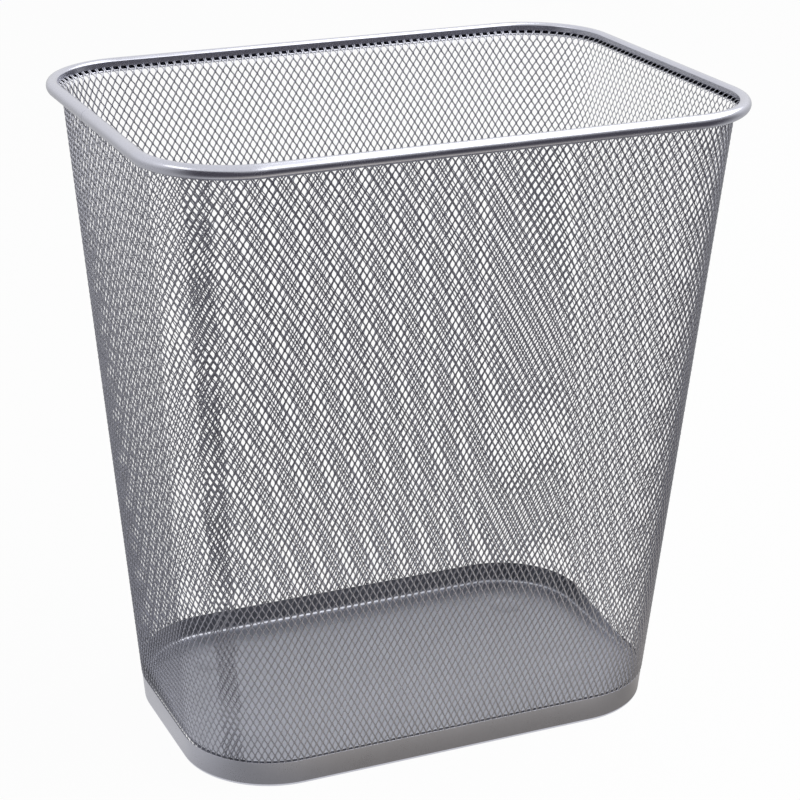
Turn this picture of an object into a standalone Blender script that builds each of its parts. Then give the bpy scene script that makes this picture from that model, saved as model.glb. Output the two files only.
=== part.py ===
"""Rectangular mesh wastebasket in silver-painted steel, in metres, +Z up.

One sheet of expanded steel makes the tapered wall. Its top edge enters a slit in a rim tube, its bottom
edge stands behind a foot band, and a pressed floor tray sits inside it, a little above the floor.
The origin is the middle of the footprint on the floor, X runs along the long sides, and -Y is the front.
"""
import math

import bmesh
import bpy
from mathutils import Matrix, Vector

# The wall's outer face, taken at the floor and at the rim's top
HEIGHT = 0.355
TOP_LENGTH = 0.3172
TOP_WIDTH = 0.2278
TOP_CORNER = 0.0430
BASE_LENGTH = 0.2740
BASE_WIDTH = 0.1654
BASE_CORNER = 0.0506

# Expanded steel sheet. Its net has the real strand's slant at a coarse pitch
MESH_THICKNESS = 0.0008
LONG_COLUMNS = 7
SHORT_COLUMNS = 4
CORNER_COLUMNS = 2
NET_ROWS = 5
STRAND_WIDTH = 0.0068
STEPS_PER_COLUMN = 4

# Rim tube with its slit, whose angles are measured from outward through upward
TUBE_DIAMETER = 0.0075
TUBE_SHEET = 0.0007
SLIT_UPPER_ANGLE = math.radians(175)
SLIT_LOWER_ANGLE = math.radians(-148)
TUBE_STEPS = 14
MESH_LEAN_OUT = 0.0014
MESH_LEAN_UP = 0.0013
NET_TOP_BELOW_RIM = 0.0058
BUTT_JOINT_GAP = 0.0004
BUTT_JOINT_BEHIND_MIDDLE = 0.011

# Foot band round the bottom of the mesh
BAND_HEIGHT = 0.0156
BAND_SHEET = 0.0006
BAND_BEND = 0.0020
BAND_RETURN = 0.0060
BAND_INSET = 0.0006

# Floor tray with its turned-up edge and pressed dimples
TRAY_SHEET = 0.0006
TRAY_UNDERSIDE = 0.0122
TRAY_TOP = 0.0249
TRAY_BEND = 0.0020
DIMPLE_DIAMETER = 0.020
DIMPLE_SLOPE = 0.0024
DIMPLE_DEPTH = 0.0012
DIMPLE_ALONG = 0.0948
DIMPLE_ACROSS = 0.0451
DIMPLE_STEPS = 20

CLEARANCE = 0.0003
BEND_STEPS = 3
WELD_DISTANCE = 0.00001
SMOOTH_ANGLE = math.radians(35)

# Offsets from the wall's outer face, outward positive, that seat the pieces inside each other
MESH_IN_BAND = -(BAND_INSET + BAND_SHEET + CLEARANCE)
TRAY_OFFSET = MESH_IN_BAND - MESH_THICKNESS - CLEARANCE
TUBE_RADIUS = TUBE_DIAMETER / 2
TUBE_OFFSET = TUBE_RADIUS + CLEARANCE
TUBE_LEVEL = HEIGHT - TUBE_RADIUS

# Heights of the mesh sheet's edges and of the first and last row of its net
MESH_BOTTOM = BAND_BEND + CLEARANCE
NET_BOTTOM = BAND_HEIGHT + 2 * (-MESH_IN_BAND)
NET_TOP = HEIGHT - NET_TOP_BELOW_RIM
MESH_TOP = NET_TOP + MESH_LEAN_UP

COLUMNS = 2 * (LONG_COLUMNS + SHORT_COLUMNS) + 4 * CORNER_COLUMNS
SIDE_COLUMNS = (LONG_COLUMNS, SHORT_COLUMNS, LONG_COLUMNS, SHORT_COLUMNS)
CORNER_SIGNS = (Vector((-1, -1)), Vector((1, -1)), Vector((1, 1)), Vector((-1, 1)))


def remove_old_objects():
    """Empties the scene."""
    for old in list(bpy.data.objects):
        bpy.data.objects.remove(old, do_unlink=True)


def new_collection(name):
    """A collection in the scene."""
    collection = bpy.data.collections.new(name)
    bpy.context.scene.collection.children.link(collection)
    return collection


def metal_paint(name, colour, roughness, metallic):
    """A satin silver paint."""
    material = bpy.data.materials.new(name)
    material.use_nodes = True
    shader = material.node_tree.nodes["Principled BSDF"]
    shader.inputs["Base Color"].default_value = (*colour, 1.0)
    shader.inputs["Roughness"].default_value = roughness
    shader.inputs["Metallic"].default_value = metallic
    return material


def corner_arc(corner, z):
    """Centre in plan and radius of one corner of the tapered wall at a height."""
    share = z / HEIGHT
    half_length = (BASE_LENGTH + (TOP_LENGTH - BASE_LENGTH) * share) / 2
    half_width = (BASE_WIDTH + (TOP_WIDTH - BASE_WIDTH) * share) / 2
    radius = BASE_CORNER + (TOP_CORNER - BASE_CORNER) * share
    sign = CORNER_SIGNS[corner % 4]
    return Vector((sign.x * (half_length - radius), sign.y * (half_width - radius))), radius


def wall_point(column, z, offset):
    """A point on the wall, or offset outward from it in plan.

    Columns run round the wall anticlockwise from the middle of the front left corner.
    """
    left = (column - CORNER_COLUMNS / 2) % COLUMNS
    for side, columns in enumerate(SIDE_COLUMNS):
        centre, radius = corner_arc(side + 1, z)
        turn = 0.0
        if left <= columns:
            before, _ = corner_arc(side, z)
            centre = before.lerp(centre, left / columns)
            break
        left -= columns
        if left <= CORNER_COLUMNS:
            turn = left / CORNER_COLUMNS
            break
        left -= CORNER_COLUMNS
    angle = math.radians(90) * (side - 1 + turn)
    reach = radius + offset
    return Vector((centre.x + reach * math.cos(angle), centre.y + reach * math.sin(angle), z))


def ring_columns():
    """Columns that a ring needs a point at: the ends of the straight sides and steps round the corners."""
    columns = []
    start = CORNER_COLUMNS / 2
    for side_columns in SIDE_COLUMNS:
        columns.append(start)
        start += side_columns
        steps = range(CORNER_COLUMNS * STEPS_PER_COLUMN)
        columns += [start + step / STEPS_PER_COLUMN for step in steps]
        start += CORNER_COLUMNS
    return columns


def loft(section, columns, closed=True):
    """An outward-facing skin through rings of the wall's outline, one for each (offset, z) of a section."""
    skin = bmesh.new()
    rings = [[skin.verts.new(wall_point(column, z, offset)) for column in columns] for offset, z in section]
    first = 0 if closed else 1
    for upper, lower in zip(rings, rings[1:]):
        for index in range(first, len(columns)):
            skin.faces.new((upper[index - 1], lower[index - 1], lower[index], upper[index]))
    return skin


def arc(centre_offset, centre_z, radius, start, end, steps):
    """Section points along an arc, in (offset, z)."""
    angles = [start + (end - start) * step / steps for step in range(steps + 1)]
    return [(centre_offset + radius * math.cos(a), centre_z + radius * math.sin(a)) for a in angles]


def bend_in(offset, z, radius):
    """Section points of a quarter bend, from a wall at the offset down and in to a flat at the height."""
    return arc(offset - radius, z + radius, radius, 0, math.radians(-90), BEND_STEPS)


def sheet_metal(name, skin, thickness, collection, material):
    """Turns an outward-facing skin into a piece whose sheet lies behind it."""
    mesh = bpy.data.meshes.new(name)
    skin.to_mesh(mesh)
    skin.free()
    mesh.materials.append(material)
    mesh.shade_smooth()
    mesh.set_sharp_from_angle(angle=SMOOTH_ANGLE)
    piece = bpy.data.objects.new(name, mesh)
    collection.objects.link(piece)
    sheet = piece.modifiers.new("sheet", "SOLIDIFY")
    sheet.thickness = thickness
    sheet.offset = -1
    sheet.use_even_offset = True
    return piece


def flat_net():
    """The mesh sheet laid flat: X counts columns, Y is the height, and the diamonds are cut out."""
    column_width = wall_perimeter(HEIGHT / 2) / COLUMNS
    net_height = NET_TOP - NET_BOTTOM
    size = Matrix.Diagonal((COLUMNS * column_width, net_height, 1, 1))
    place = Matrix.Translation((COLUMNS * column_width / 2, NET_BOTTOM + net_height / 2, 0))
    sheet = bmesh.new()
    bmesh.ops.create_grid(sheet, x_segments=COLUMNS, y_segments=NET_ROWS, size=0.5, matrix=place @ size)
    inner_edges = [edge for edge in sheet.edges if not edge.is_boundary]
    bmesh.ops.poke(sheet, faces=sheet.faces)
    long_edges = border_edges(sheet, NET_BOTTOM) + border_edges(sheet, NET_TOP)
    bmesh.ops.subdivide_edges(sheet, edges=long_edges, cuts=STEPS_PER_COLUMN - 1)
    bmesh.ops.dissolve_edges(sheet, edges=inner_edges, use_verts=False)
    diamonds = [face for face in sheet.faces if len(face.verts) == 4]
    bmesh.ops.inset_individual(sheet, faces=diamonds, thickness=STRAND_WIDTH / 2, use_even_offset=True)
    bmesh.ops.delete(sheet, geom=diamonds, context="FACES_ONLY")
    bmesh.ops.scale(sheet, vec=(1 / column_width, 1, 1), verts=sheet.verts)
    return sheet


def wall_perimeter(z):
    """Length of the wall's outline at a height."""
    steps = COLUMNS * STEPS_PER_COLUMN
    points = [wall_point(step / STEPS_PER_COLUMN, z, 0) for step in range(steps)]
    return sum((points[step] - points[step - 1]).length for step in range(steps))


def border_edges(sheet, height):
    """Edges of the flat sheet that lie along one height."""
    level = [edge for edge in sheet.edges if edge.is_boundary]
    return [edge for edge in level if all(abs(v.co.y - height) < WELD_DISTANCE for v in edge.verts)]


def add_margin(sheet, old_height, new_height):
    """Continues the flat sheet from its border at one height to another height."""
    made = bmesh.ops.extrude_edge_only(sheet, edges=border_edges(sheet, old_height))["geom"]
    for vertex in [item for item in made if isinstance(item, bmesh.types.BMVert)]:
        vertex.co.y = new_height


def mesh_offset(z):
    """How far the mesh stands off the tapered face: in behind the band and out into the rim's slit."""
    if z < NET_BOTTOM:
        return MESH_IN_BAND * min((NET_BOTTOM - z) / (NET_BOTTOM - BAND_HEIGHT), 1)
    return MESH_LEAN_OUT * max(z - NET_TOP, 0) / MESH_LEAN_UP


def make_mesh_wall(collection, material):
    """The expanded steel sheet, rolled round the taper. The diamonds in its seam stay filled."""
    sheet = flat_net()
    add_margin(sheet, NET_TOP, MESH_TOP)
    add_margin(sheet, NET_BOTTOM, BAND_HEIGHT)
    add_margin(sheet, BAND_HEIGHT, MESH_BOTTOM)
    for vertex in sheet.verts:
        column, z, _ = vertex.co
        vertex.co = wall_point(column, z, mesh_offset(z))
    bmesh.ops.remove_doubles(sheet, verts=sheet.verts, dist=WELD_DISTANCE)
    return sheet_metal("mesh_wall", sheet, MESH_THICKNESS, collection, material)


def butt_joint_column():
    """Column on the left side where the rim tube's ends meet."""
    back, _ = corner_arc(3, TUBE_LEVEL)
    column_width = 2 * back.y / SHORT_COLUMNS
    middle = COLUMNS - (CORNER_COLUMNS + SHORT_COLUMNS) / 2
    return middle - BUTT_JOINT_BEHIND_MIDDLE / column_width, BUTT_JOINT_GAP / column_width


def make_rim(collection, material):
    """The slit tube, bent into a ring that is open by a hair at its butt joint."""
    section = arc(TUBE_OFFSET, TUBE_LEVEL, TUBE_RADIUS, SLIT_UPPER_ANGLE, SLIT_LOWER_ANGLE, TUBE_STEPS)
    joint, gap = butt_joint_column()
    round_once = [joint + (column - joint) % COLUMNS for column in ring_columns()]
    columns = [joint + gap / 2, *sorted(round_once), joint + COLUMNS - gap / 2]
    return sheet_metal("rim", loft(section, columns, closed=False), TUBE_SHEET, collection, material)


def make_foot_band(collection, material):
    """The strip round the bottom of the mesh, turned in to a flat lip on the floor."""
    section = [(-BAND_INSET, BAND_HEIGHT), *bend_in(-BAND_INSET, 0, BAND_BEND), (-BAND_RETURN, 0)]
    return sheet_metal("foot_band", loft(section, ring_columns()), BAND_SHEET, collection, material)


def make_floor_tray(collection, material):
    """The plate inside the mesh, with its edge turned up and its dimples pressed down."""
    section = [(TRAY_OFFSET, TRAY_TOP), *bend_in(TRAY_OFFSET, TRAY_UNDERSIDE, TRAY_BEND)]
    skin = loft(section, ring_columns())
    edges = [edge for edge in skin.edges if all(abs(v.co.z - TRAY_UNDERSIDE) < WELD_DISTANCE for v in edge.verts)]
    dimples = []
    for sign in CORNER_SIGNS:
        place = Matrix.Translation((sign.x * DIMPLE_ALONG, sign.y * DIMPLE_ACROSS, TRAY_UNDERSIDE))
        circle = bmesh.ops.create_circle(
            skin, cap_ends=True, segments=DIMPLE_STEPS, radius=DIMPLE_DIAMETER / 2, matrix=place)["verts"]
        dimples.append(circle[0].link_faces[0])
        edges += dimples[-1].edges
    bmesh.ops.triangle_fill(skin, edges=edges, use_beauty=True)
    bmesh.ops.recalc_face_normals(skin, faces=skin.faces)
    bmesh.ops.inset_individual(skin, faces=dimples, thickness=DIMPLE_SLOPE, depth=DIMPLE_DEPTH)
    return sheet_metal("floor_tray", skin, TRAY_SHEET, collection, material)


def main():
    """Builds the basket."""
    remove_old_objects()
    basket = new_collection("mesh_wastebasket")
    make_mesh_wall(basket, metal_paint("mesh_paint", (0.33, 0.33, 0.35), 0.42, 0.75))
    make_rim(basket, metal_paint("rim_paint", (0.45, 0.45, 0.47), 0.30, 0.80))
    make_foot_band(basket, metal_paint("band_paint", (0.40, 0.40, 0.42), 0.36, 0.75))
    make_floor_tray(basket, metal_paint("tray_paint", (0.38, 0.38, 0.41), 0.36, 0.75))


main()
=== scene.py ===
"""The looks of the mesh wastebasket: expanded steel mesh, rim, foot band and floor tray in silver paint.

Lengths are in metres in the frame's own axes: X along the long sides, -Y the front, Z up from the floor.
"""

import math

import bmesh
import bpy
import numpy as np
from mathutils import Matrix, Quaternion, Vector


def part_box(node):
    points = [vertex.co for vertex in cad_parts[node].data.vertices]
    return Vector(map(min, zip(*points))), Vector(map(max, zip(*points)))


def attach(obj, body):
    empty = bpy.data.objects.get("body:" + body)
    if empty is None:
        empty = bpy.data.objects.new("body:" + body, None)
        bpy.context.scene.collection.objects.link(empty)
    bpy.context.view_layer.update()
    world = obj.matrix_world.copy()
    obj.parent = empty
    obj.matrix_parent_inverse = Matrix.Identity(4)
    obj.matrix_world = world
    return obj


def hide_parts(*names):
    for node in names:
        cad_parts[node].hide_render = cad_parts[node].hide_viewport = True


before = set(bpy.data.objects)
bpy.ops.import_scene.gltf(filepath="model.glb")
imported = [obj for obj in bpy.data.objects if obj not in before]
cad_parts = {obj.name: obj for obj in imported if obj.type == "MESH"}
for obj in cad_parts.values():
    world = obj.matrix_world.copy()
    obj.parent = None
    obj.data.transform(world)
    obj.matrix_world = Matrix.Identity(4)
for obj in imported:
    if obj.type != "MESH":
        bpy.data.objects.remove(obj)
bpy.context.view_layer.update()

MM = 0.001

# Camera, fitted to the photo
PHOTO_PIXELS = 800
FOCAL_PIXELS = 2303.2
CENTRE_PIXEL = (392.36, 399.94)
CAMERA_AZIMUTH = math.radians(-23.357)
CAMERA_ELEVATION = math.radians(21.287)
CAMERA_ROLL = math.radians(0.121)
CAMERA_DISTANCE = 1.2715
CAMERA_NEAR = 0.05
SENSOR_WIDTH = 36.0

# Studio. Each soft box has its place, the spot that it faces, and its length and width
RIGHT_BOX = ((1.47, -1.75, 1.5), (1.47, -1.75, 0.0), (2.2, 5.1))
LEFT_BOX = ((-1.9, -0.2, 1.6), (0.0, 0.0, 0.35), (1.0, 0.7))
LAMP_STRENGTH = 1.8
SOFT_STRENGTH = 0.25
FLOOR_SHADE = 0.95
FLOOR_ROUGHNESS = 0.9
FLOOR_WHITE_SHARE = 0.96
FLOOR_REACH = 4.0

# Painted reflections: what the paint reflects of the table and the room, given as shades of a glowing card,
# in front, to the left and behind
WHITE = (1.0, 1.0, 1.0)
BLACK = (0.0, 0.0, 0.0)
RIGHT_NEAR = (0.74, 0.70, 0.64)
LEFT_NEAR = (0.80, 0.80, 0.81)
FRONT_DARK = (0.09, 0.085, 0.10)
BACK_NEAR = (0.40, 0.40, 0.40)
BACK_FAR = (0.58, 0.58, 0.58)

# Where one shade turns into the next: degrees above the rim's level, seen from the middle of the object.
# On the left, white starts higher by the lift
FRONT_DARKENS = (-66, -34)
FRONT_WHITENS = (-14, 36)
BACK_LIGHTENS = (-80, -25)
BACK_WHITENS = (-20, 22)
LEFT_LIFT = 36

# The same round the object: degrees from the front, either way or to the left only
BEHIND_STARTS = (55, 100)
LEFT_STARTS = (5, 45)
LEFT_NEAR_STARTS = (30, 65)

# Painted shadow and light on the table next to the object: its brightness there as a share of its shade,
# darker in front and lighter behind, and how far that reaches
FRONT_PAINTED_SHADOW = 0.42
BACK_PAINTED_LIGHT = 1.7
PAINTED_CONTACT_REACH = 0.05

# The card that carries these shades: a table round the object and a wall round the table
ROOM_RADIUS = 2.6
ROOM_TOP = 1.35
TABLE_START = 0.06
TABLE_LEVEL = 0.002
TABLE_RINGS = 44
WALL_RINGS = 16
CARD_STEPS = 120

# The wall's outer face at the floor and at the rim's top: length, width and corner radius
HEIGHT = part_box("rim")[1].z
TOP_OUTLINE = np.array((317.2, 227.8, 43.0)) * MM
BASE_OUTLINE = np.array((274.0, 165.4, 50.6)) * MM

# Steps round a corner, round a bend and round the tube, and the rounding of cut edges
CORNER_STEPS = 24
BEND_STEPS = 8
TUBE_STEPS = 44
CUT_EDGE = 0.12 * MM
CUT_EDGE_ANGLE = math.radians(50)

# Expanded steel: strips that zigzag up the wall and meet their neighbours in upright knots.
# Going down, the strips drift round the wall by the twist, in columns per metre
COLUMNS = 226
STRAND_LENGTH = 3.985 * MM
STRIP_WIDTH = 0.65 * MM
STRIP_THICKNESS = 0.42 * MM
STRIP_TILT = math.radians(-28)
KNOT_LENGTH = 1.25 * MM
SHEET_TWIST = 7.4
TOP_KNOTS = HEIGHT - 5.0 * MM
SHEET_BOTTOM = 4.0 * MM
SHEET_DEPTH = -0.45 * MM
CURL_START = HEIGHT - 9.0 * MM
CURL_RADIUS = 4.5 * MM
CURL_ANGLE = math.radians(58)
STEP_IN = -0.60 * MM
STEP_LEVEL = 15.9 * MM
STEP_SOFTNESS = 0.35 * MM
PANELS = 10

# Seam: the sheet's other end, laid behind its first one and leaning the other way. Its start is a share of
# the way round, its width and shift are in columns, and its turn is in columns per metre
SEAM_START = -0.1525
SEAM_WIDTH = 3.3
SEAM_DEPTH = -0.75 * MM
SEAM_SHIFT = 0.46
SEAM_RISE = 1.3 * MM
SEAM_TURN = 14.0

# Rim tube with its slit. Angles go from outward through upward, and the slit's top is from the tube's centre
TUBE_RADIUS = 3.75 * MM
TUBE_SHEET = 0.6 * MM
TUBE_OFFSET = 4.0 * MM
CRIMP_ANGLE = math.radians(135)
CRIMP_LEAN = 0.8 * MM
CRIMP_FOLD = 0.5 * MM
SLIT_TOP = -0.7 * MM
SLIT_LOWER = math.radians(-138)
BUTT_JOINT_Y = 11.0 * MM
BUTT_GAP = 0.25 * MM

# Foot band
BAND_HEIGHT = 15.6 * MM
BAND_INSET = -0.2 * MM
BAND_SHEET = 0.3 * MM
BAND_BEND = 2.0 * MM
BAND_RETURN = -6.0 * MM

# Silver paint: cells per metre of its flakes, clouds and skin, and how much they show
FLAKE_SCALE = 2600.0
CLOUD_SCALE = 55.0
SKIN_SCALE = 700.0
SKIN_DEPTH = 0.02 * MM
FLAKE_TINT = 0.35
CLOUD_TINT = 0.12
GLOSS_CHANGE = 0.12
MESH_COLOUR = (0.475, 0.48, 0.53)
RIM_COLOUR = (0.57, 0.577, 0.65)
BAND_COLOUR = (0.54, 0.545, 0.605)
TRAY_COLOUR = (0.46, 0.47, 0.52)

# Floor tray. Its edge is low along the front and climbs to the back along the sides
TRAY_OFFSET = -2.6 * MM
TRAY_SHEET = 0.6 * MM
TRAY_UNDERSIDE = 12.2 * MM
TRAY_TOP = 24.9 * MM
TRAY_FRONT_TOP = 15.6 * MM
TRAY_BEND = 2.0 * MM
TRAY_CLIMB = 33.0 * MM
# Painted shade on the tray's turned-up edge: how dark it gets, over what height above the plate, and from
# where towards the back
TRAY_EDGE_SHADE = 0.3
TRAY_SHADE_UP = (0.6 * MM, 2.2 * MM)
TRAY_SHADE_BACK = (-10 * MM, 30 * MM)
DIMPLE_RADIUS = 10.0 * MM
DIMPLE_FLAT = 0.65
DIMPLE_RINGS = 6
DIMPLE_SEGMENTS = 48
DIMPLE_DEPTH = 0.4 * MM
DIMPLE_PLACE = (94.8 * MM, 45.1 * MM)
CORNERS = ((-1, -1), (1, -1), (1, 1), (-1, 1))


def outline(z):
    """Half length, half width and corner radius of the wall's outer face at heights."""
    share = np.asarray(z) / HEIGHT
    length, width, radius = (
        low + (high - low) * share for low, high in zip(BASE_OUTLINE, TOP_OUTLINE))
    return length / 2, width / 2, radius


def column_width(z):
    """Width of one column of the mesh at heights."""
    length, width, radius = outline(z)
    return (4 * (length + width) - (8 - 2 * math.pi) * radius) / COLUMNS


def wall_points(column, z, offset):
    """Points on the wall. Columns run anticlockwise from the middle of the front; offset is outward."""
    quarter = np.mod(column / COLUMNS, 1) * 4
    index = np.floor(quarter)
    share = quarter - index
    mirrored = np.mod(index, 2) == 1
    share = np.where(mirrored, 1 - share, share)
    length, width, radius = outline(z)
    side = length - radius
    along = share * (side + radius * math.pi / 2 + width - radius)
    turn = np.clip((along - side) / radius, 0, math.pi / 2)
    rest = np.clip(along - side - radius * math.pi / 2, 0, None)
    x = np.minimum(along, side) + (radius + offset) * np.sin(turn)
    y = rest - (width - radius) - (radius + offset) * np.cos(turn)
    x = np.where((index == 2) | (index == 3), -x, x)
    y = np.where((index == 1) | (index == 2), -y, y)
    return np.stack((x, y, z + 0 * x), axis=-1)


def sheet_path(climb):
    """Height, offset and outward lean of the mesh sheet at distances climbed along it."""
    curl = np.clip((climb - CURL_START) / CURL_RADIUS, 0, CURL_ANGLE)
    straight = np.clip(climb - CURL_START - CURL_RADIUS * CURL_ANGLE, 0, None)
    z = np.minimum(climb, CURL_START) + CURL_RADIUS * np.sin(curl) + straight * math.cos(CURL_ANGLE)
    offset = CURL_RADIUS * (1 - np.cos(curl)) + straight * math.sin(CURL_ANGLE)
    step = (1 - np.tanh((climb - STEP_LEVEL) / (STEP_SOFTNESS / 2))) / 2
    return z, offset + step * STEP_IN, curl


def knot_rows(top):
    """Climb of each row of knots from the top down, so that every strand keeps its length.

    The first row is the one that would follow above the sheet's cut edge.
    """
    rows = [top + math.sqrt(STRAND_LENGTH ** 2 - float(column_width(top)) ** 2 / 4), top]
    while rows[-1] > SHEET_BOTTOM:
        half_width = float(column_width(rows[-1])) / 2
        rows.append(rows[-1] - math.sqrt(STRAND_LENGTH ** 2 - half_width ** 2))
    return np.array(rows)


def strip_vertices(strips, rows, depth, shift, twist):
    """Corners of each strip's section: an array of strips, path points, corners and coordinates."""
    strip = strips[:, None]
    row = np.arange(len(rows))[None, :]
    right = (strip + row) % 2
    width = column_width(rows)[None, :]
    side = 1 - 2 * right
    slant = np.arcsin(width / 2 / STRAND_LENGTH)
    middle = (strip + right) / 2 + shift - twist * (HEIGHT - rows)[None, :]
    half = STRIP_WIDTH / 2
    points = []
    for end in (1, -1):
        for across, through in ((1, 1), (-1, 1), (-1, -1), (1, -1)):
            reach = side * half + across * half
            x = reach * math.cos(STRIP_TILT) + through * STRIP_THICKNESS / 2 * math.sin(STRIP_TILT)
            out = -reach * math.sin(STRIP_TILT) + through * STRIP_THICKNESS / 2 * math.cos(STRIP_TILT)
            mitre = -end * side * across * half * np.tan(slant / 2)
            climb = rows[None, :] + end * KNOT_LENGTH / 2 + mitre
            z, offset, lean = sheet_path(climb)
            out = out + depth
            z = z - out * np.sin(lean)
            offset = offset + out * np.cos(lean)
            points.append(wall_points(middle + x / width, z, offset))
    points = np.stack(points, axis=2)
    points = points.reshape(len(strips), len(rows) * 2, 4, 3)
    points[:, 1] = (points[:, 1] + points[:, 2]) / 2
    return points[:, 1:]


def strip_faces(count, length):
    """Faces of the strips: four sides between path points and a cap at each end."""
    base = (np.arange(count) * length * 4)[:, None, None] + (np.arange(length - 1) * 4)[None, :, None]
    corner = np.arange(4)[None, None, :]
    after = (corner + 1) % 4
    sides = np.stack((base + corner, base + after, base + 4 + after, base + 4 + corner), axis=-1)
    starts = (np.arange(count) * length * 4)[:, None]
    top = starts + np.array((3, 2, 1, 0))[None, :]
    bottom = starts + (length - 1) * 4 + np.arange(4)[None, :]
    return np.concatenate((sides.reshape(-1, 4), top, bottom))


def mesh_object(name, vertices, faces):
    """A smooth-shaded object from arrays of vertices and faces."""
    mesh = bpy.data.meshes.new(name)
    mesh.from_pydata(vertices.reshape(-1, 3), [], faces)
    mesh.shade_smooth()
    piece = bpy.data.objects.new(name, mesh)
    bpy.context.scene.collection.objects.link(piece)
    return piece


def make_mesh_panels():
    """The expanded steel wall, in panels of neighbouring strips."""
    rows = knot_rows(TOP_KNOTS)
    first = round(2 * COLUMNS * SEAM_START)
    bounds = np.linspace(first, first + 2 * COLUMNS, PANELS + 1).astype(int)
    panels = []
    for index in range(PANELS):
        strips = np.arange(bounds[index], bounds[index + 1])
        vertices = strip_vertices(strips, rows, SHEET_DEPTH, 0.0, SHEET_TWIST)
        faces = strip_faces(len(strips), vertices.shape[1])
        panels.append(mesh_object(f"mesh_panel_{index + 1}", vertices, faces))
    panels.append(make_seam_lap(first))
    return panels


def make_seam_lap(first):
    """The sheet's other end behind the strip with the given number, cut to the width of the seam."""
    rows = knot_rows(TOP_KNOTS - SEAM_RISE)
    drift = SEAM_TURN * (HEIGHT - rows)
    vertices = []
    faces = []
    count = 0
    reach = math.ceil(2 * drift[-1])
    for strip in range(first - reach - 2, first + 2 * math.ceil(SEAM_WIDTH) + 2):
        place = (strip - first) / 2 + SEAM_SHIFT + drift
        inside = np.flatnonzero((place > -0.5) & (place < SEAM_WIDTH - 0.5))
        if len(inside) < 3:
            continue
        top = inside[0]
        path = strip_vertices(np.array((strip + top,)), rows[inside], SHEET_DEPTH + SEAM_DEPTH,
                              SEAM_SHIFT - top / 2, SHEET_TWIST - SEAM_TURN)
        faces.append(strip_faces(1, path.shape[1]) + count)
        vertices.append(path.reshape(-1, 3))
        count += len(vertices[-1])
    return mesh_object("mesh_seam_lap", np.concatenate(vertices), np.concatenate(faces))


def ring(z, offset):
    """Points round the wall's outline at a height, anticlockwise from the front left corner."""
    length, width, radius = (float(value) for value in outline(z))
    points = []
    for corner, (sign_x, sign_y) in enumerate(CORNERS):
        for step in range(CORNER_STEPS + 1):
            angle = math.radians(180 + 90 * corner) + math.radians(90) * step / CORNER_STEPS
            x = sign_x * (length - radius) + (radius + offset) * math.cos(angle)
            y = sign_y * (width - radius) + (radius + offset) * math.sin(angle)
            points.append(Vector((x, y, z)))
    return points


def loft(section, joint_y=None, gap=0.0):
    """An outward-facing skin through rings for a section of (offset, z), top to bottom.

    With joint_y the rings are open on the left side there.
    """
    skin = bmesh.new()
    rings = []
    for offset, z in section:
        points = ring(z, offset)
        if joint_y is not None:
            x = points[0].x
            points = [Vector((x, joint_y - gap / 2, z)), *points, Vector((x, joint_y + gap / 2, z))]
        rings.append([skin.verts.new(point) for point in points])
    first = 0 if joint_y is None else 1
    for upper, lower in zip(rings, rings[1:]):
        for index in range(first, len(upper)):
            skin.faces.new((upper[index - 1], lower[index - 1], lower[index], upper[index]))
    return skin, rings


def arc(centre_offset, centre_z, radius, start, end, steps):
    """Section points along an arc."""
    angles = np.linspace(start, end, steps + 1)
    return [(centre_offset + radius * math.cos(a), centre_z + radius * math.sin(a)) for a in angles]


def sheet_object(name, skin, thickness):
    """An object whose sheet lies behind the skin, with rounded cut edges."""
    mesh = bpy.data.meshes.new(name)
    skin.to_mesh(mesh)
    skin.free()
    mesh.shade_smooth()
    piece = bpy.data.objects.new(name, mesh)
    bpy.context.scene.collection.objects.link(piece)
    sheet = piece.modifiers.new("sheet", "SOLIDIFY")
    sheet.thickness = thickness
    sheet.offset = -1
    sheet.use_even_offset = True
    rounding = piece.modifiers.new("cut edge", "BEVEL")
    rounding.width = CUT_EDGE
    rounding.segments = 2
    rounding.limit_method = "ANGLE"
    rounding.angle_limit = CUT_EDGE_ANGLE
    rounding.harden_normals = True
    return piece


def make_rim():
    """The rolled tube with its crimped inner face, its slit and its butt joint."""
    centre = HEIGHT - TUBE_RADIUS
    bow = arc(TUBE_OFFSET, centre, TUBE_RADIUS, CRIMP_ANGLE, SLIT_LOWER, TUBE_STEPS)
    fold_offset, fold_z = bow[0]
    crimp = [(fold_offset + CRIMP_LEAN, centre + SLIT_TOP), (fold_offset, fold_z - CRIMP_FOLD)]
    skin, _ = loft(crimp + bow, BUTT_JOINT_Y, BUTT_GAP)
    return sheet_object("rim_tube", skin, TUBE_SHEET)


def make_band():
    """The strip round the foot, with its bend and its lip on the floor."""
    bend = arc(BAND_INSET - BAND_BEND, BAND_BEND, BAND_BEND, 0, -math.pi / 2, BEND_STEPS)
    section = [(BAND_INSET, BAND_HEIGHT), *bend, (BAND_RETURN, 0.0)]
    skin, _ = loft(section)
    return sheet_object("foot_strip", skin, BAND_SHEET)


def dimple_rings(skin, x, y):
    """Adds a pressed dimple as rings of faces, and gives its outer edges."""
    rings = []
    for share in np.linspace(1, DIMPLE_FLAT, DIMPLE_RINGS):
        drop = DIMPLE_DEPTH * rise(1, DIMPLE_FLAT, share)
        circle = bmesh.ops.create_circle(
            skin, segments=DIMPLE_SEGMENTS, radius=DIMPLE_RADIUS * share,
            matrix=Matrix.Translation((x, y, TRAY_UNDERSIDE - drop)))["verts"]
        rings.append(circle)
    for outer, inner in zip(rings, rings[1:]):
        for index in range(len(outer)):
            skin.faces.new((outer[index - 1], inner[index - 1], inner[index], outer[index]))
    skin.faces.new(rings[-1])
    return [edge for edge in {e for v in rings[0] for e in v.link_edges} if edge.is_boundary]


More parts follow.
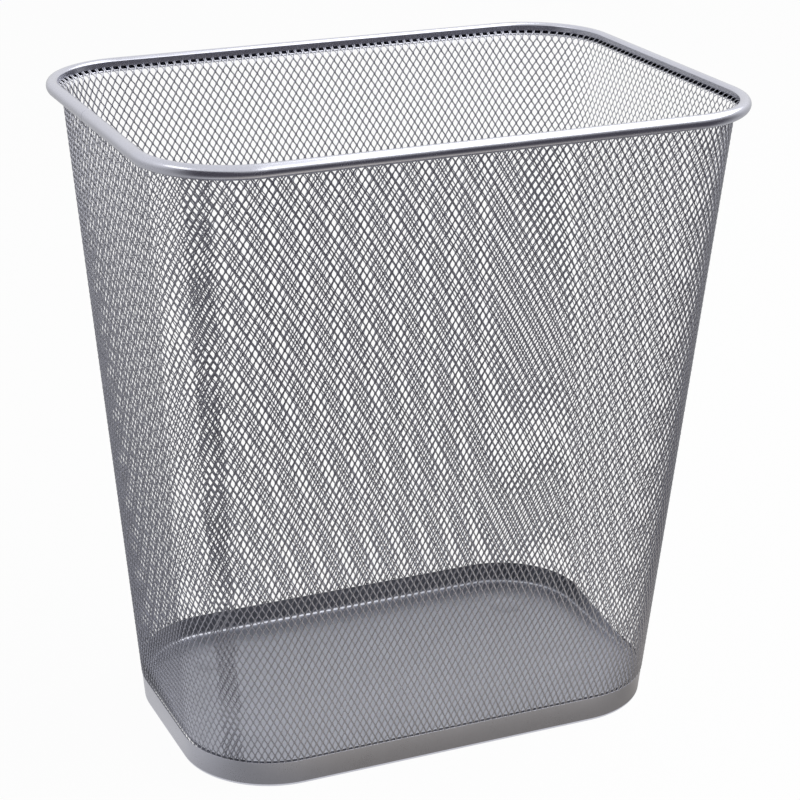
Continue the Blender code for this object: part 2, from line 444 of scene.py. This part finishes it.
def make_tray():
    """The pressed plate with its turned-up edge and dimples."""
    bend_z = TRAY_UNDERSIDE + TRAY_BEND
    bend = arc(TRAY_OFFSET - TRAY_BEND, bend_z, TRAY_BEND, 0, -math.pi / 2, BEND_STEPS)
    skin, rings = loft([(TRAY_OFFSET, TRAY_TOP), *bend])
    for index, vertex in enumerate(rings[0]):
        climb = rise(-TRAY_CLIMB, TRAY_CLIMB, vertex.co.y)
        level = TRAY_FRONT_TOP + (TRAY_TOP - TRAY_FRONT_TOP) * climb
        vertex.co = ring(level, TRAY_OFFSET)[index]
    floor_ring = rings[-1]
    edges = [skin.edges.get((floor_ring[i - 1], floor_ring[i])) for i in range(len(floor_ring))]
    for sign_x, sign_y in CORNERS:
        edges += dimple_rings(skin, sign_x * DIMPLE_PLACE[0], sign_y * DIMPLE_PLACE[1])
    bmesh.ops.triangle_fill(skin, edges=edges, use_beauty=True)
    bmesh.ops.recalc_face_normals(skin, faces=skin.faces)
    return sheet_object("tray_plate", skin, TRAY_SHEET)


def paint_detail():
    """A shared effect: fine flakes, a faint unevenness and the paint's own skin."""
    group = bpy.data.node_groups.new("silver paint detail", "ShaderNodeTree")
    group.interface.new_socket("Colour", in_out="INPUT", socket_type="NodeSocketColor")
    for name in ("Roughness", "Flake Tint", "Unevenness"):
        group.interface.new_socket(name, in_out="INPUT", socket_type="NodeSocketFloat")
    group.interface.new_socket("Colour", in_out="OUTPUT", socket_type="NodeSocketColor")
    for name in ("Roughness", "Height"):
        group.interface.new_socket(name, in_out="OUTPUT", socket_type="NodeSocketFloat")
    given = group.nodes.new("NodeGroupInput")
    result = group.nodes.new("NodeGroupOutput")
    place = group.nodes.new("ShaderNodeTexCoord")

    def noise(scale, detail):
        texture = group.nodes.new("ShaderNodeTexNoise")
        texture.inputs["Scale"].default_value = scale
        texture.inputs["Detail"].default_value = detail
        group.links.new(place.outputs["Object"], texture.inputs["Vector"])
        return texture.outputs["Fac"]

    def calculate(operation, first, second):
        node = group.nodes.new("ShaderNodeMath")
        node.operation = operation
        for socket, value in zip(node.inputs, (first, second)):
            if isinstance(value, float):
                socket.default_value = value
            else:
                group.links.new(value, socket)
        return node.outputs[0]

    flakes = calculate("SUBTRACT", noise(FLAKE_SCALE, 2.0), 0.5)
    cloud = calculate("SUBTRACT", noise(CLOUD_SCALE, 3.0), 0.5)
    tint = calculate("MULTIPLY", flakes, given.outputs["Flake Tint"])
    shade = calculate("MULTIPLY", cloud, given.outputs["Unevenness"])
    brightness = calculate("ADD", calculate("ADD", tint, shade), 1.0)
    coloured = group.nodes.new("ShaderNodeVectorMath")
    coloured.operation = "SCALE"
    group.links.new(given.outputs["Colour"], coloured.inputs[0])
    group.links.new(brightness, coloured.inputs["Scale"])
    group.links.new(coloured.outputs[0], result.inputs["Colour"])
    gloss = calculate("MULTIPLY", calculate("ADD", flakes, cloud), GLOSS_CHANGE)
    roughness = calculate("ADD", gloss, given.outputs["Roughness"])
    group.links.new(roughness, result.inputs["Roughness"])
    group.links.new(noise(SKIN_SCALE, 1.0), result.inputs["Height"])
    return group


def silver_paint(name, detail, colour, roughness, skin):
    """Satin silver paint over steel."""
    material = bpy.data.materials.new(name)
    material.use_nodes = True
    nodes = material.node_tree.nodes
    links = material.node_tree.links
    shader = nodes["Principled BSDF"]
    shader.inputs["Metallic"].default_value = 1.0
    effect = nodes.new("ShaderNodeGroup")
    effect.node_tree = detail
    effect.inputs["Colour"].default_value = (*colour, 1.0)
    effect.inputs["Roughness"].default_value = roughness
    effect.inputs["Flake Tint"].default_value = FLAKE_TINT
    effect.inputs["Unevenness"].default_value = CLOUD_TINT
    links.new(effect.outputs["Colour"], shader.inputs["Base Color"])
    links.new(effect.outputs["Roughness"], shader.inputs["Roughness"])
    bump = nodes.new("ShaderNodeBump")
    bump.inputs["Strength"].default_value = skin
    bump.inputs["Distance"].default_value = SKIN_DEPTH
    links.new(effect.outputs["Height"], bump.inputs["Height"])
    links.new(bump.outputs["Normal"], shader.inputs["Normal"])
    return material


def fade_between(nodes, low, high):
    """A node that goes from 1 to another value between two lengths."""
    fade = nodes.new("ShaderNodeMapRange")
    fade.inputs["From Min"].default_value = low
    fade.inputs["From Max"].default_value = high
    fade.inputs["To Min"].default_value = 1.0
    return fade


def paint_shade_on_tray_edge(material):
    """Paints shade on the turned-up edge of the tray, darker towards the back, where the mesh shades it."""
    nodes = material.node_tree.nodes
    links = material.node_tree.links
    colour = nodes["Principled BSDF"].inputs["Base Color"]
    place = nodes.new("ShaderNodeTexCoord")
    split = nodes.new("ShaderNodeSeparateXYZ")
    links.new(place.outputs["Object"], split.inputs[0])
    fade = fade_between(nodes, *(TRAY_UNDERSIDE + TRAY_SHEET + above for above in TRAY_SHADE_UP))
    fade.inputs["To Max"].default_value = TRAY_EDGE_SHADE
    links.new(split.outputs["Z"], fade.inputs["Value"])
    behind = fade_between(nodes, *TRAY_SHADE_BACK)
    links.new(split.outputs["Y"], behind.inputs["Value"])
    links.new(fade.outputs["Result"], behind.inputs["To Max"])
    darker = nodes.new("ShaderNodeVectorMath")
    darker.operation = "SCALE"
    links.new(colour.links[0].from_socket, darker.inputs[0])
    links.new(behind.outputs["Result"], darker.inputs["Scale"])
    links.new(darker.outputs[0], colour)


def dress(piece, material, slot, *nodes):
    """Paints a piece, fixes it to the frame and lets it stand for its solids."""
    piece.data.materials.clear()
    piece.data.materials.append(material)
    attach(piece, "root")
    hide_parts(*nodes)


def make_camera():
    """The photo's camera."""
    camera = bpy.data.cameras.new("camera")
    camera.sensor_width = SENSOR_WIDTH
    camera.lens = FOCAL_PIXELS / PHOTO_PIXELS * SENSOR_WIDTH
    middle = (PHOTO_PIXELS - 1) / 2
    camera.shift_x = (middle - CENTRE_PIXEL[0]) / PHOTO_PIXELS
    camera.shift_y = (CENTRE_PIXEL[1] - middle) / PHOTO_PIXELS
    camera.clip_start = CAMERA_NEAR
    stand = bpy.data.objects.new("camera", camera)
    back = Vector((
        math.sin(CAMERA_AZIMUTH) * math.cos(CAMERA_ELEVATION),
        -math.cos(CAMERA_AZIMUTH) * math.cos(CAMERA_ELEVATION),
        math.sin(CAMERA_ELEVATION)))
    stand.location = Vector((0, 0, HEIGHT / 2)) + back * CAMERA_DISTANCE
    level = back.to_track_quat("Z", "Y")
    stand.rotation_euler = (level @ Quaternion((0, 0, 1), CAMERA_ROLL)).to_euler()
    bpy.context.scene.collection.objects.link(stand)
    bpy.context.scene.camera = stand


def soft_box(name, place, target, size):
    """A soft box that looks at a target. Its strength is what a mirror shows of it, where 1 is white."""
    lamp = bpy.data.lights.new(name, "AREA")
    lamp.shape = "RECTANGLE"
    lamp.size, lamp.size_y = size
    lamp.energy = LAMP_STRENGTH * math.pi * size[0] * size[1]
    holder = bpy.data.objects.new(name, lamp)
    holder.location = place
    holder.rotation_euler = (Vector(place) - Vector(target)).to_track_quat("Z", "Y").to_euler()
    holder.visible_camera = False
    bpy.context.scene.collection.objects.link(holder)


def seen_white(tree, shaded, white):
    """Mixes a shader with a white one for camera, glossy and transmission rays."""
    nodes = tree.nodes
    links = tree.links
    path = nodes.new("ShaderNodeLightPath")
    either = nodes.new("ShaderNodeMath")
    either.operation = "MAXIMUM"
    links.new(path.outputs["Is Camera Ray"], either.inputs[0])
    links.new(path.outputs["Is Glossy Ray"], either.inputs[1])
    every = nodes.new("ShaderNodeMath")
    every.operation = "MAXIMUM"
    links.new(either.outputs[0], every.inputs[0])
    links.new(path.outputs["Is Transmission Ray"], every.inputs[1])
    mix = nodes.new("ShaderNodeMixShader")
    links.new(every.outputs[0], mix.inputs[0])
    links.new(shaded, mix.inputs[1])
    links.new(white, mix.inputs[2])
    return mix.outputs[0]


def make_world():
    """A pale world: soft on the object, white where it is seen or reflected."""
    world = bpy.data.worlds.new("studio")
    bpy.context.scene.world = world
    world.use_nodes = True
    tree = world.node_tree
    soft = tree.nodes["Background"]
    soft.inputs["Color"].default_value = (1, 1, 1, 1)
    soft.inputs["Strength"].default_value = SOFT_STRENGTH
    white = tree.nodes.new("ShaderNodeBackground")
    white.inputs["Color"].default_value = (1, 1, 1, 1)
    white.inputs["Strength"].default_value = 1.0
    output = tree.nodes["World Output"]
    tree.links.new(seen_white(tree, soft.outputs[0], white.outputs[0]), output.inputs["Surface"])


def stage_object(name, vertices, faces, material):
    """A part of the studio."""
    mesh = bpy.data.meshes.new(name)
    mesh.from_pydata(vertices, [], faces)
    mesh.materials.append(material)
    piece = bpy.data.objects.new(name, mesh)
    bpy.context.scene.collection.objects.link(piece)
    return piece


def floor_paint():
    """White floor: plain white where it is seen, but for a share that keeps the object's shadow."""
    material = bpy.data.materials.new("white_floor")
    material.use_nodes = True
    tree = material.node_tree
    shaded = tree.nodes["Principled BSDF"]
    shaded.inputs["Base Color"].default_value = (FLOOR_SHADE, FLOOR_SHADE, FLOOR_SHADE, 1)
    shaded.inputs["Roughness"].default_value = FLOOR_ROUGHNESS
    shaded.inputs["Specular IOR Level"].default_value = 0.0
    white = tree.nodes.new("ShaderNodeEmission")
    white.inputs["Strength"].default_value = 1.0
    part = tree.nodes.new("ShaderNodeMixShader")
    part.inputs[0].default_value = FLOOR_WHITE_SHARE
    tree.links.new(shaded.outputs[0], part.inputs[1])
    tree.links.new(white.outputs[0], part.inputs[2])
    output = tree.nodes["Material Output"]
    tree.links.new(seen_white(tree, shaded.outputs[0], part.outputs[0]), output.inputs["Surface"])
    return material


def make_floor():
    """A plain white floor."""
    corners = [(x * FLOOR_REACH, y * FLOOR_REACH, 0) for x, y in CORNERS]
    stage_object("studio_floor", corners, [(0, 1, 2, 3)], floor_paint())


def card_paint(name):
    """Card that glows with the shade of its own vertices."""
    material = bpy.data.materials.new(name)
    material.use_nodes = True
    tree = material.node_tree
    tree.nodes.remove(tree.nodes["Principled BSDF"])
    shade = tree.nodes.new("ShaderNodeAttribute")
    shade.attribute_name = "shade"
    glow = tree.nodes.new("ShaderNodeEmission")
    tree.links.new(shade.outputs["Color"], glow.inputs["Color"])
    tree.links.new(glow.outputs[0], tree.nodes["Material Output"].inputs["Surface"])
    return material


def make_card(name, section):
    """A card all round the object, through rings of (radius, z), which only reflections show."""
    vertices = []
    for radius, z in section:
        for step in range(CARD_STEPS + 1):
            angle = math.pi * (2 * step / CARD_STEPS - 1)
            vertices.append(Vector((radius * math.sin(angle), -radius * math.cos(angle), z)))
    faces = []
    for row in range(len(section) - 1):
        for step in range(CARD_STEPS):
            first = row * (CARD_STEPS + 1) + step
            faces.append((first, first + 1, first + CARD_STEPS + 2, first + CARD_STEPS + 1))
    card = stage_object(name, vertices, faces, card_paint(name))
    shades = card.data.color_attributes.new("shade", "FLOAT_COLOR", "POINT")
    for spot, vertex in zip(shades.data, vertices):
        spot.color = (*surround_shade(vertex), 1.0)
    card.visible_camera = False
    card.visible_diffuse = False
    card.visible_shadow = False
    card.visible_transmission = False


def rise(low, high, value):
    """Goes smoothly from 0 to 1 between two values."""
    share = min(max((value - low) / (high - low), 0.0), 1.0)
    return share * share * (3 - 2 * share)


def blend(first, second, share):
    """A colour between two others."""
    return tuple(a + (b - a) * share for a, b in zip(first, second))


def surround_shade(point):
    """Painted brightness of the surroundings at a spot: by its angle over the rim and its side of the
    object, with a painted shadow of the object on the table in front and painted light behind it.
    """
    climb = math.degrees(math.atan2(point.z - HEIGHT, math.hypot(point.x, point.y)))
    around = math.degrees(math.atan2(point.x, -point.y))
    left = rise(*LEFT_STARTS, -around)
    near = blend(RIGHT_NEAR, LEFT_NEAR, rise(*LEFT_NEAR_STARTS, -around))
    front = blend(near, FRONT_DARK, rise(*FRONT_DARKENS, climb))
    front = blend(front, WHITE, rise(*FRONT_WHITENS, climb - LEFT_LIFT * left))
    back = blend(BACK_NEAR, BACK_FAR, rise(*BACK_LIGHTENS, climb))
    back = blend(back, WHITE, rise(*BACK_WHITENS, climb))
    behind = rise(*BEHIND_STARTS, abs(around))
    shade = blend(front, back, behind)
    # Painted shadow in front of the object and painted light behind it, fading out from its foot
    beside = abs(point.x) - BASE_OUTLINE[0] / 2
    before = abs(point.y) - BASE_OUTLINE[1] / 2
    clear = rise(0, PAINTED_CONTACT_REACH, math.hypot(max(beside, 0), max(before, 0)))
    painted_contact = FRONT_PAINTED_SHADOW + (BACK_PAINTED_LIGHT - FRONT_PAINTED_SHADOW) * behind
    return blend(BLACK, shade, painted_contact + (1 - painted_contact) * clear)


def make_surround():
    """The table and the room, as a glowing card of painted reflections that runs out from the object and up
    all round it.
    """
    growth = ROOM_RADIUS / TABLE_START
    table = [(TABLE_START * growth ** (step / TABLE_RINGS), TABLE_LEVEL) for step in range(TABLE_RINGS)]
    wall = [(ROOM_RADIUS, ROOM_TOP * step / WALL_RINGS) for step in range(WALL_RINGS + 1)]
    make_card("surround", table + wall)


def main():
    """Builds the scene."""
    make_camera()
    make_world()
    make_floor()
    make_surround()
    soft_box("right_box", *RIGHT_BOX)
    soft_box("left_box", *LEFT_BOX)
    detail = paint_detail()
    mesh_paint = silver_paint("mesh_silver", detail, MESH_COLOUR, roughness=0.24, skin=0.4)
    for panel in make_mesh_panels():
        dress(panel, mesh_paint, "mesh_paint", "mesh_wall")
    rim_paint = silver_paint("rim_silver", detail, RIM_COLOUR, roughness=0.24, skin=0.3)
    dress(make_rim(), rim_paint, "rim_paint", "rim")
    band_paint = silver_paint("band_silver", detail, BAND_COLOUR, roughness=0.30, skin=0.5)
    dress(make_band(), band_paint, "band_paint", "foot_band")
    tray_paint = silver_paint("tray_silver", detail, TRAY_COLOUR, roughness=0.33, skin=0.5)
    # Painted shade on the tray's turned-up edge, darker towards the back
    paint_shade_on_tray_edge(tray_paint)
    dress(make_tray(), tray_paint, "tray_paint", "floor_tray")
    bpy.context.scene.view_settings.view_transform = "Standard"


main()
